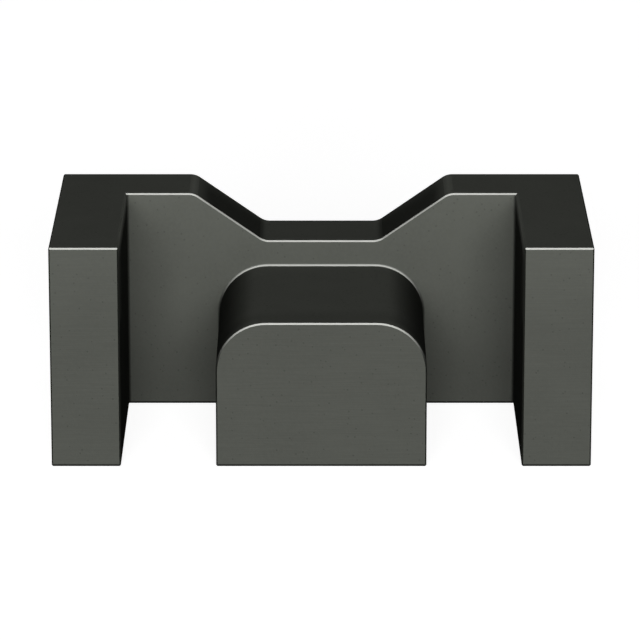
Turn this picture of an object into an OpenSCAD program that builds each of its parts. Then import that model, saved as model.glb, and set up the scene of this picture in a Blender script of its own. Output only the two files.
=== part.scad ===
// One half of a ferrite E core whose D-shaped centre post stands flush with the base.
// X runs across the legs, Y from the mating faces to the back, Z up from the base.
// The origin is the middle of the base.

/* [Overall size] */
// Width over the two outer legs
core_w = 30; // [26:0.1:36]
// Depth from the mating faces to the back
core_d = 16.2; // [13.5:0.1:19.6]
// Height from the base to the top of the outer legs
core_h = 12.6; // [10.5:0.1:15.2]

/* [Legs and yoke] */
// Thickness of an outer leg
leg_t = 3.85; // [2.8:0.05:4.6]
// Thickness of the yoke behind the winding window
yoke_t = 4.5; // [3.6:0.1:6]

/* [Centre post] */
// Width of the post
post_w = 11.7; // [9:0.1:14.2]
// Height of the post
post_h = 8.3; // [6.6:0.05:9.9]
// Radius of the two upper corners of the post
post_r = 2.8; // [1:0.1:4]

/* [Yoke notch] */
// Width of the notch floor, between its sloping sides
notch_floor_w = 6.6; // [4:0.1:9]
// Width of the notch at the top of the yoke, between its sloping sides
notch_top_w = 14.6; // [12:0.1:20]
// Yoke that is left above the height of the post, under the notch floor
notch_land = 1.5; // [1:0.1:2]
// Radius where the sloping sides meet the floor and the top
notch_r = 1; // [0.4:0.1:1.2]

/* [Edges] */
// Fillet where the legs and the post grow out of the yoke
root_r = 0.2; // [0.1:0.05:0.4]
// Bevel on every outer edge
edge_break = 0.08; // [0.05:0.01:0.2]

/* [Hidden] */
$fn = 128;
ferrite = [0.33, 0.335, 0.31];

// How far a cutting or joining shape runs past the face that it crosses
over = 0.05;
// A round face stands this far proud of the flat faces it runs into, and laps over them by
// this angle, so that the two cross cleanly
proud = 0.0005;
lap = 3;

// The levels along Y
front_y = -core_d / 2;
back_y = core_d / 2;
wall_y = back_y - yoke_t;

// Inner face of the left leg
leg_inner_x = leg_t - core_w / 2;

// Centre of the right-hand upper corner of the post
post_corner_x = post_w / 2 - post_r;
post_corner_z = post_h - post_r;

// The notch: the ends of its right-hand side as [x, z], the length and the slope of that side,
// the length that a fillet takes from the lines it joins, and the centres of the two fillets
notch_floor_end = [notch_floor_w / 2, post_h + notch_land];
notch_top_end = [notch_top_w / 2, core_h];
notch_side = norm(notch_top_end - notch_floor_end);
notch_slope = asin((notch_top_end.y - notch_floor_end.y) / notch_side);
notch_tangent = notch_r * tan(notch_slope / 2);
notch_low = notch_floor_end + [-notch_tangent, notch_r];
notch_high = notch_top_end + [notch_tangent, -notch_r];

// ---- extrusions and turnings ----

// Extrudes a (y, z) outline along X
module along_x(from, to) {
    translate([from, 0, 0]) rotate([90, 0, 90]) linear_extrude(to - from) children();
}

// Extrudes an (x, z) outline along Y
module along_y(from, to) {
    translate([0, to, 0]) rotate([90, 0, 0]) linear_extrude(to - from) children();
}

// Extrudes an (x, y) outline along Z
module along_z(from, to) {
    translate([0, 0, from]) linear_extrude(to - from) children();
}

// Turns a (radius, y) outline about the line along Y through centre = [x, z]
module turned(centre, from, by) {
    translate([centre.x, 0, centre.y]) rotate([90, 0, 0])
        rotate_extrude(angle = by, start = from) mirror([0, 1]) children();
}

module both_sides() {
    children();
    mirror([1, 0, 0]) children();
}

// Rectangle between two corners, with its own corners bevelled
module bevelled(low, high) {
    b = edge_break;
    polygon([
        [low.x + b, low.y], [high.x - b, low.y], [high.x, low.y + b], [high.x, high.y - b],
        [high.x - b, high.y], [low.x + b, high.y], [low.x, high.y - b], [low.x, low.y + b]
    ]);
}

// ---- outer faces ----

// Every outer face and edge of the core lies on this block
module block() {
    intersection() {
        along_x(-core_w, core_w) bevelled([front_y, 0], [back_y, core_h]);
        along_y(-core_d, core_d) bevelled([-core_w / 2, 0], [core_w / 2, core_h]);
        along_z(-core_h, 2 * core_h) bevelled([-core_w / 2, front_y], [core_w / 2, back_y]);
    }
}

// ---- legs and post ----

// All that lies on the -X side of an upright face at x. The front edge and the long edges of
// that face are bevelled
module inner_side(x) {
    intersection() {
        along_y(-core_d, core_d) bevelled([-core_w, 0], [x, core_h]);
        along_z(-core_h, 2 * core_h) polygon([
            [x, front_y + edge_break], [x, core_d], [-core_w, core_d],
            [-core_w, front_y + edge_break - core_w - x]
        ]);
    }
}

// Fillet between the yoke and a face that meets it at u = 0, as (u, y)
module root_section() {
    centre = [root_r - proud, wall_y + proud - root_r];
    difference() {
        polygon([
            [centre.x, wall_y + proud], [centre.x, wall_y + over], [-over, wall_y + over],
            [-over, centre.y], [-proud, centre.y]
        ]);
        translate(centre) circle(r = root_r);
    }
}

module left_leg() {
    inner_side(leg_inner_x);
    along_z(edge_break, core_h - edge_break) translate([leg_inner_x, 0]) root_section();
}

// Sides of the post, up to where its corners begin
module post_sides() {
    intersection() {
        inner_side(post_w / 2);
        mirror([1, 0, 0]) inner_side(post_w / 2);
        along_z(0, post_corner_z) square([core_w, 2 * core_d], center = true);
    }
}

// Middle of the post, up to its flat top
module post_middle() {
    along_x(-post_corner_x, post_corner_x) polygon([
        [front_y, 0], [back_y, 0], [back_y, post_h], [front_y + edge_break, post_h],
        [front_y, post_h - edge_break]
    ]);
}

// Upper corner of the post
module post_corner() {
    r = post_r + proud;
    turned([post_corner_x, post_corner_z], -lap, 90 + 2 * lap) polygon([
        [0, front_y], [r - edge_break, front_y], [r, front_y + edge_break], [r, back_y],
        [0, back_y]
    ]);
}

// Root fillet of the post: up each side, round each corner and across the top
module post_root() {
    both_sides() {
        along_z(edge_break, post_corner_z) translate([post_w / 2, 0]) root_section();
        turned([post_corner_x, post_corner_z], -lap, 90 + 2 * lap)
            translate([post_r + proud, 0]) root_section();
    }
    along_x(-post_corner_x, post_corner_x)
        mirror([1, -1]) translate([post_h, 0]) root_section();
}

module post() {
    post_sides();
    post_middle();
    both_sides() post_corner();
    post_root();
}

// ---- yoke and its notch ----

// What a fillet changes at a corner: the part of the outline round that corner that lies
// outside the fillet's circle
module corner_piece(centre, outline) {
    difference() {
        polygon(concat([centre], outline));
        translate(centre) circle(r = notch_r + proud);
    }
}

// Right half of the notch, as (x, z)
module notch_half() {
    slope_normal = notch_r * [-sin(notch_slope), cos(notch_slope)];
    difference() {
        union() {
            polygon([
                [-over, notch_floor_end.y], notch_floor_end, notch_top_end,
                notch_top_end + [0, core_h], [-over, 2 * core_h]
            ]);
            corner_piece(notch_high, [
                notch_high + slope_normal, notch_top_end + [0, over],
                notch_high + [0, notch_r + over]
            ]);
        }
        corner_piece(notch_low, [
            notch_low - [0, notch_r + over], notch_floor_end - [0, over],
            notch_floor_end + [over, 0], notch_low - slope_normal
        ]);
    }
}

// Bevel across a rim: u runs into the material, and y runs back from the end face
module rim_section() {
    polygon([[-over, -over], [edge_break + over, -over], [-over, edge_break + over]]);
}

// Bevel along one rim of the notch, on an end face at y = 0
module notch_rim() {
    low_end = notch_low + notch_r * [sin(notch_slope), -cos(notch_slope)];
    slope_length = notch_side - 2 * notch_tangent + over;
    along_x(-notch_low.x, notch_low.x)
        translate([0, notch_floor_end.y]) rotate(-90) rim_section();
    both_sides() {
        turned(notch_low, -90 - lap, notch_slope + 2 * lap)
            translate([notch_r + proud, 0]) rim_section();
        translate([low_end.x, 0, low_end.y]) rotate([0, -notch_slope, 0])
            along_x(0, slope_length) rotate(-90) rim_section();
        turned(notch_high, 90, notch_slope)
            translate([notch_r + proud, 0]) mirror([1, 0]) rim_section();
    }
}

module yoke() {
    difference() {
        along_x(-core_w, core_w) bevelled([wall_y, 0], [2 * core_d, core_h]);
        both_sides() along_y(wall_y - over, back_y + over) notch_half();
        translate([0, wall_y, 0]) notch_rim();
        translate([0, back_y, 0]) mirror([0, 1, 0]) notch_rim();
    }
}

// ---- the core ----

module core() {
    color(ferrite) intersection() {
        block();
        union() {
            both_sides() left_leg();
            yoke();
            post();
        }
    }
}

core();
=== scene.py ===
import math

import bpy
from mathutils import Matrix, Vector


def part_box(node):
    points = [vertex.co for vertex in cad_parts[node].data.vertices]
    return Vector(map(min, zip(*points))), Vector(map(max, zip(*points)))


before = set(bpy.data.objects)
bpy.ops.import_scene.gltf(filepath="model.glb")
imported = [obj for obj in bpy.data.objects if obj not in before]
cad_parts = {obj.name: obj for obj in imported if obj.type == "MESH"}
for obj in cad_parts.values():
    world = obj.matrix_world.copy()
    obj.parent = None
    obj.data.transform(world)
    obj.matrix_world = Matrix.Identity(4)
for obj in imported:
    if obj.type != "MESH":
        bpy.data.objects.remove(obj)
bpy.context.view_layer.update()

# Everything is in metres, in the frame of the CAD: X across the legs, Y from the mating
# faces to the back, Z up from the base.

MM = 0.001
WHITE = (1.0, 1.0, 1.0, 1.0)

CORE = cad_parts["core"]
LOW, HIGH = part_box("core")
WIDTH = HIGH.x - LOW.x

# ---- places on the core ----

BEVEL = 0.08 * MM                    # cut that makes the rims, as in the CAD
LEG_INNER = 11.15 * MM               # inner faces of the legs, along X
WALL = 3.6 * MM                      # wall of the yoke behind the windows, along Y
BLUR = 0.1 * MM                      # over which one part of the core turns into the next

# ---- colours of the ferrite ----

FERRITE = (0.088, 0.092, 0.081)      # sintered body
PAINTED_RIM_HIGHLIGHT = (0.70, 0.71, 0.67)     # painted highlight on the rims that face up
PAINTED_RIM_SHADE = (0.012, 0.013, 0.011)    # painted shade on the other outermost rims and on the foot of the core

BLOTCH_TONES = (0.96, 1.04)          # how light the patches are, with 1 for the body
GRAIN_TONE = 1.10
GRAIN_AMOUNT = 0.5
SCRATCH_TONE = 0.90
SCRATCH_AMOUNT = 0.5
PORE_TONE = 0.45
PORE_AMOUNT = 0.35

# Painted light and shade on the body, from place to place. Every pair is where a change starts
# and ends.
SIDE_SHADE = 0.28                    # painted shade on the sides between the legs, against the body
SIDE_FACING = (0.20, 0.92)           # how far a face turns sideways
NOTCH_SHADE = 1.3                    # how much more the slopes of the notch count as sides
# Painted shade at the base of the windows, painted light higher up.
WINDOW_DEPTHS = (1 * MM, 3 * MM)     # from the mating faces
WINDOW_HEIGHTS = (1 * MM, 8 * MM)
WINDOW_TONES = (0.85, 1.15)
# Painted light on the upper part and on faces that face up.
UPPER_HEIGHTS = (7 * MM, 12.8 * MM)
UPPER_FACING = (0.85, 0.97)          # how far a face turns up
UPPER_TONES = (0.93, 1.08)

# ---- texture of the ferrite ----

BLOTCH = 3.5 * MM                    # size of the uneven patches from sintering
GRAIN = 0.16 * MM                    # size of the pressed powder grain
PORE_CELL = 0.42 * MM                # spacing of the open pores
PORE_EDGE = (0.16, 0.08)             # rim and floor of a pore, as shares of its cell
SCRATCH = 0.07 * MM                  # spacing of the grinding marks on the mating faces
SCRATCH_STRETCH = (0.03, 1.0, 1.0)   # draws the marks out along X
NOISE_SPAN = (0.25, 0.75)            # what nearly all of a noise texture lies between

RIM_STARTS = (0.25, 0.50)            # how far the normal of a rim has turned from one face
RIM_ENDS = (0.97, 0.85)              # how close it may come to that of the other
EDGE_FADE = 3.0                      # how fast the painted highlight on a rim fades where it turns to the side

ROUGHNESS = 0.86
ROUGHNESS_SPREAD = 0.08              # above and below, from grain to grain
EDGE_POLISH = 0.35                   # how much smoother the rims with the painted highlight are
RELIEF = 0.01 * MM                   # height of the grain
RELIEF_STRENGTH = 0.25
PORE_DEPTH = 1.5                     # against the height of the grain

# ---- light and camera ----

AMBIENT = 0.02                       # light from all round
STRIP_LEVEL = 0.65                   # lights beside and behind the core
FLOOR_COLOUR = (0.50, 0.50, 0.50, 1.0)
FLOOR_GLOW = 0.88                    # the share of the floor's white that no shadow takes away
FLOOR_SIZE = 6.0                     # wide enough to fill every view

SENSOR = 36.0
LENS = 259.32                        # fitted to the photo, as are the numbers below
PITCH = math.radians(16.441)
DISTANCE = 8.4707 * WIDTH
AIM_X = -0.00243 * WIDTH
AIM_Z = 0.28327 * WIDTH


# ---- node helpers ----

def add(tree, kind, inputs=None, **settings):
    """Adds a shader node. Each entry of inputs is a value or the output of another node."""
    made = tree.nodes.new("ShaderNode" + kind)
    for name, value in settings.items():
        setattr(made, name, value)
    for key, value in (inputs or {}).items():
        if isinstance(value, bpy.types.NodeSocket):
            tree.links.new(value, made.inputs[key])
        else:
            made.inputs[key].default_value = value
    return made


def calc(tree, operation, first, second=0.0):
    """One Math node."""
    return add(tree, "Math", {0: first, 1: second}, operation=operation).outputs[0]


def ease(tree, value, start, end):
    """0 at start and 1 at end, with a smooth step between."""
    return add(tree, "MapRange", {"Value": value, "From Min": start, "From Max": end},
               interpolation_type="SMOOTHSTEP").outputs["Result"]


def spread(tree, value, low, high):
    """Carries 0..1 over to low..high."""
    return add(tree, "MapRange", {"Value": value, "To Min": low, "To Max": high}).outputs[0]


def blend(tree, factor, first, second):
    """Mixes two colours."""
    return add(tree, "Mix", {0: factor, 6: first, 7: second}, data_type="RGBA").outputs[2]


def noise(tree, place, size, detail=2.0):
    """Noise between 0 and 1 whose lumps are about size wide."""
    made = add(tree, "TexNoise", {"Vector": place, "Scale": 1 / size, "Detail": detail})
    return ease(tree, made.outputs[0], *NOISE_SPAN)


def shade(colour, by):
    """A colour with its lightness multiplied, with alpha."""
    return (*(c * by for c in colour), 1.0)


# ---- material ----

def painted_rim_masks(tree, facing, spot):
    """Where light is painted on the rims: (painted highlight on the rims that face up, painted
    shade on the other outermost rims and the foot of the core).
    """
    def rim(axis):
        slant = calc(tree, "ABSOLUTE", facing[axis])
        return calc(tree, "MULTIPLY", ease(tree, slant, *RIM_STARTS),
                    ease(tree, slant, *RIM_ENDS))

    def outermost(axis, limit):
        return ease(tree, calc(tree, "ABSOLUTE", spot[axis]), limit - 2 * BEVEL,
                    limit - 1.5 * BEVEL)

    # For the painted highlight, a rim along a level upper edge faces 45 degrees from straight
    # up, and counts as 1
    lift = add(tree, "Clamp", {"Value": calc(tree, "MULTIPLY", facing["Z"], math.sqrt(2))})
    upward = calc(tree, "POWER", lift.outputs[0], EDGE_FADE)
    rim_highlight_mask = calc(tree, "MULTIPLY", rim("Y"), upward)
    ends = calc(tree, "MULTIPLY", rim("Y"), outermost("Y", HIGH.y))
    sides = calc(tree, "MULTIPLY", rim("X"), outermost("X", HIGH.x))
    foot = ease(tree, spot["Z"], LOW.z + 2 * BEVEL, LOW.z + 1.2 * BEVEL)
    rim_shade_mask = calc(tree, "MAXIMUM", calc(tree, "MAXIMUM", ends, sides), foot)
    return rim_highlight_mask, calc(tree, "MULTIPLY", rim_shade_mask, calc(tree, "SUBTRACT", 1.0, rim_highlight_mask))


def painted_side_shade(tree, facing, spot, between_legs):
    """Painted shade on the faces between the legs that face sideways, most of all in the
    notch.
    """
    in_notch = ease(tree, spot["Y"], WALL - BLUR, WALL + BLUR)
    slant = calc(tree, "MULTIPLY", calc(tree, "ABSOLUTE", facing["X"]),
                 spread(tree, in_notch, 1.0, NOTCH_SHADE))
    side = ease(tree, slant, *SIDE_FACING)
    return spread(tree, calc(tree, "MULTIPLY", side, between_legs), 1.0, SIDE_SHADE)


def painted_window_light_and_shade(tree, spot, between_legs):
    """Painted shade in the windows, with the post in them, at the base, and painted light
    higher up.
    """
    near, far = WINDOW_DEPTHS
    inside = calc(tree, "MULTIPLY", ease(tree, spot["Y"], LOW.y + near, LOW.y + far),
                  ease(tree, spot["Y"], WALL + 2 * BLUR, WALL + BLUR))
    inside = calc(tree, "MULTIPLY", inside, between_legs)
    graded = spread(tree, ease(tree, spot["Z"], *WINDOW_HEIGHTS), *WINDOW_TONES)
    return add(tree, "Mix", {0: inside, 2: 1.0, 3: graded}).outputs[0]


def painted_upper_light(tree, facing, spot):
    """Painted light on the upper part of the core and on all faces that face up."""
    upper = calc(tree, "MAXIMUM", ease(tree, spot["Z"], *UPPER_HEIGHTS),
                 ease(tree, facing["Z"], *UPPER_FACING))
    return spread(tree, upper, *UPPER_TONES)


def painted_light_and_shade(tree, facing, spot):
    """Painted light and shade on the body, with 1 for the colour as written."""
    between_legs = ease(tree, calc(tree, "ABSOLUTE", spot["X"]), LEG_INNER + 2 * BLUR,
                        LEG_INNER + BLUR)
    inner = calc(tree, "MULTIPLY", painted_side_shade(tree, facing, spot, between_legs),
                 painted_window_light_and_shade(tree, spot, between_legs))
    return calc(tree, "MULTIPLY", inner, painted_upper_light(tree, facing, spot))


def ferrite_material():
    """Dark grey sintered ceramic: matt, finely grained, with open pores, painted highlights on
    the rims that face up, painted shade on the other outer rims, the foot and between the
    legs, and painted light higher up.
    """
    made = bpy.data.materials.new("ferrite")
    made.use_nodes = True
    tree = made.node_tree
    tree.nodes.clear()
    where = add(tree, "TexCoord")
    place = where.outputs["Object"]
    spot = add(tree, "SeparateXYZ", {0: place}).outputs
    facing = add(tree, "SeparateXYZ", {0: where.outputs["Normal"]}).outputs
    rim_highlight_mask, rim_shade_mask = painted_rim_masks(tree, facing, spot)

    blotch = noise(tree, place, BLOTCH)
    grain = noise(tree, place, GRAIN, detail=3.0)
    cell = add(tree, "TexVoronoi", {"Vector": place, "Scale": 1 / PORE_CELL})
    pore = ease(tree, cell.outputs["Distance"], *PORE_EDGE)
    drawn = add(tree, "VectorMath", {0: place, 1: SCRATCH_STRETCH}, operation="MULTIPLY")
    scratch = noise(tree, drawn.outputs[0], SCRATCH)
    mating = ease(tree, spot["Y"], LOW.y + 0.5 * BEVEL, LOW.y + 0.2 * BEVEL)
    scratch = calc(tree, "MULTIPLY", scratch, mating)

    body = blend(tree, blotch, *(shade(FERRITE, by) for by in BLOTCH_TONES))
    for mark, amount, by in ((grain, GRAIN_AMOUNT, GRAIN_TONE),
                             (scratch, SCRATCH_AMOUNT, SCRATCH_TONE),
                             (pore, PORE_AMOUNT, PORE_TONE)):
        body = blend(tree, calc(tree, "MULTIPLY", mark, amount), body, shade(FERRITE, by))
    # Painted light and shade: shade between the legs and low in the windows, light higher up.
    body = add(tree, "VectorMath", {0: body, "Scale": painted_light_and_shade(tree, facing, spot)},
               operation="SCALE").outputs[0]
    # Painted shade on the outermost rims and the foot.
    body = blend(tree, rim_shade_mask, body, shade(PAINTED_RIM_SHADE, 1.0))
    # Painted highlight on the rims that face up.
    body = blend(tree, rim_highlight_mask, body, shade(PAINTED_RIM_HIGHLIGHT, 1.0))

    matt = spread(tree, grain, ROUGHNESS - ROUGHNESS_SPREAD, ROUGHNESS + ROUGHNESS_SPREAD)
    rough = calc(tree, "SUBTRACT", matt, calc(tree, "MULTIPLY", rim_highlight_mask, EDGE_POLISH))
    relief = calc(tree, "SUBTRACT", grain, calc(tree, "MULTIPLY", pore, PORE_DEPTH))
    relief = calc(tree, "SUBTRACT", relief, scratch)
    bump = add(tree, "Bump", {
        "Height": relief, "Strength": RELIEF_STRENGTH, "Distance": RELIEF})

    shader = add(tree, "BsdfPrincipled", {
        "Base Color": body, "Roughness": rough, "Normal": bump.outputs[0],
        "Specular IOR Level": 0.0})
    add(tree, "OutputMaterial", {"Surface": shader.outputs[0]})
    return made


def seen(tree):
    """1 for what the camera sees, straight or in a reflection or through glass, else 0."""
    rays = add(tree, "LightPath").outputs
    direct = calc(tree, "MAXIMUM", rays["Is Camera Ray"], rays["Is Glossy Ray"])
    return calc(tree, "MAXIMUM", direct, rays["Is Transmission Ray"])


# ---- studio ----

def build_floor():
    """Plain pale floor, level with the base of the core."""
    half = FLOOR_SIZE / 2
    mesh = bpy.data.meshes.new("floor")
    mesh.from_pydata([(-half, -half, 0), (half, -half, 0), (half, half, 0), (-half, half, 0)],
                     [], [(0, 1, 2, 3)])
    floor = bpy.data.objects.new("floor", mesh)
    bpy.context.scene.collection.objects.link(floor)
    paint = bpy.data.materials.new("floor")
    paint.use_nodes = True
    tree = paint.node_tree
    tree.nodes.clear()
    matt = add(tree, "BsdfDiffuse", {"Color": FLOOR_COLOUR})
    glow = add(tree, "Emission", {
        "Color": WHITE, "Strength": calc(tree, "MULTIPLY", seen(tree), FLOOR_GLOW)})
    both = add(tree, "AddShader", {0: matt.outputs[0], 1: glow.outputs[0]})
    add(tree, "OutputMaterial", {"Surface": both.outputs[0]})
    mesh.materials.append(paint)


def build_world():
    """White to look at, and a little light from all round."""
    world = bpy.data.worlds.new("studio")
    world.use_nodes = True
    tree = world.node_tree
    tree.nodes.clear()
    ambient = add(tree, "Background", {"Color": WHITE, "Strength": AMBIENT})
    white = add(tree, "Background", {"Color": WHITE, "Strength": 1.0})
    either = add(tree, "MixShader", {0: seen(tree), 1: ambient.outputs[0],
                                     2: white.outputs[0]})
    add(tree, "OutputWorld", {"Surface": either.outputs[0]})
    bpy.context.scene.world = world


def soft_light(name, azimuth, elevation, distance, width, height, level):
    """Softbox aimed at the core. Azimuth 0 is in front of the mating faces and 90 is at +X.

    At level 1 a white surface that faces the softbox renders white.
    """
    data = bpy.data.lights.new(name, "AREA")
    data.shape = "RECTANGLE"
    data.size = width
    data.size_y = height
    data.energy = level * (math.pi * distance) ** 2
    lamp = bpy.data.objects.new(name, data)
    a, e = math.radians(azimuth), math.radians(elevation)
    out = Vector((math.sin(a) * math.cos(e), -math.cos(a) * math.cos(e), math.sin(e)))
    lamp.location = (LOW + HIGH) / 2 + out * distance
    lamp.rotation_mode = "QUATERNION"
    lamp.rotation_quaternion = out.to_track_quat("Z", "Y")
    lamp.visible_camera = False
    bpy.context.scene.collection.objects.link(lamp)


def build_lights():
    """A wide softbox over the camera, and low strips for the outer sides and the back."""
    soft_light("key", azimuth=0, elevation=13.3, distance=0.5, width=0.28, height=0.16,
               level=1.0)
    for name, azimuth in (("right", 90), ("back", 180), ("left", -90)):
        soft_light(name, azimuth, elevation=2, distance=0.6, width=0.20, height=0.02,
                   level=STRIP_LEVEL)


def build_camera():
    """Long lens in front of the mating faces, looking down on the core."""
    data = bpy.data.cameras.new("camera")
    data.sensor_width = SENSOR
    data.lens = LENS
    data.clip_start = 10 * MM
    camera = bpy.data.objects.new("camera", data)
    back = Vector((0, -math.cos(PITCH), math.sin(PITCH)))
    aim = Vector(((LOW.x + HIGH.x) / 2 + AIM_X, LOW.y, LOW.z + AIM_Z))
    camera.location = aim + back * DISTANCE
    camera.rotation_euler = (math.pi / 2 - PITCH, 0, 0)
    bpy.context.scene.collection.objects.link(camera)
    bpy.context.scene.camera = camera


# ---- scene ----

ferrite = ferrite_material()
for slot in CORE.material_slots:
    slot.material = ferrite
build_floor()
build_world()
build_lights()
build_camera()
bpy.context.scene.view_settings.view_transform = "Standard"
